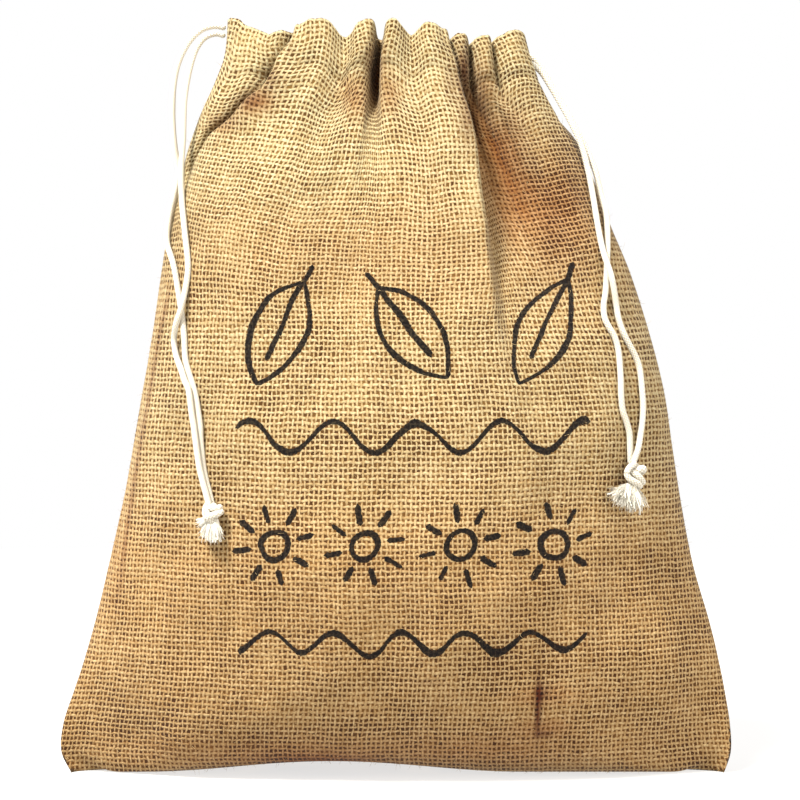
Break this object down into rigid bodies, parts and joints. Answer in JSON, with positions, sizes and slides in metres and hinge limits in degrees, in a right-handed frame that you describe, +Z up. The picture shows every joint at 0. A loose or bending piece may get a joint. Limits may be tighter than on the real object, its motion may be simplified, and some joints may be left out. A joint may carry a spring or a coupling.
{
  "type": "hessian sack",
  "caption": "Small hessian sack standing filled out on its folded bottom, its mouth gathered by cotton drawcords whose free strands hang down both sides to frayed knots.",
  "frame": {"origin": "on the floor, under the middle of the sack's outline", "axes": "+Z up, -Y out of the front of the sack, +X to the right as seen from the front"},
  "size_m": [0.307, 0.1331, 0.3435],
  "materials": {
    "hessian": "open plain weave of jute yarn, undyed golden tan",
    "cotton_cord": "fine braided cotton, off-white"
  },
  "bodies": {
    "root": {"sack": "hessian", "strand_left_outer": "cotton_cord", "strand_left_inner": "cotton_cord", "strand_right_front": "cotton_cord", "strand_right_back": "cotton_cord", "knot_left": "cotton_cord", "knot_right": "cotton_cord"}
  },
  "joints": []
}
